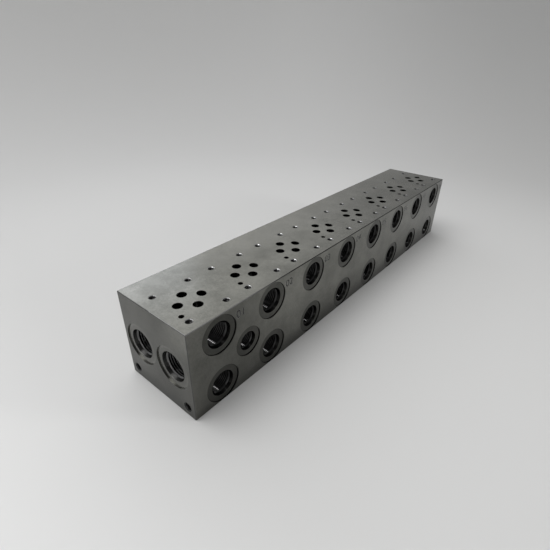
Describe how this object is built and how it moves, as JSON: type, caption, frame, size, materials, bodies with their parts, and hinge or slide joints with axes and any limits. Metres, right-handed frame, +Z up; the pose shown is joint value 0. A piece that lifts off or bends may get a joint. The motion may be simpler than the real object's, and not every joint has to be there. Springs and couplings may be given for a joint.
{
  "type": "hydraulic manifold block",
  "caption": "Long rectangular bar manifold with valve pads on top, threaded ports in its front face and gallery ports at both ends.",
  "frame": {"origin": "centre of the bottom face", "axes": "+X along the bar, away from the end beside the gauge port; +Y from the ported front face to the plain back; +Z up out of the valve pads"},
  "size_m": [0.4318, 0.0762, 0.0762],
  "materials": {
    "iron": "bare ductile iron bar, milled all over, faintly oiled, with brighter drilled and threaded edges"
  },
  "bodies": {
    "root": {"manifold_block": "iron"}
  },
  "joints": []
}
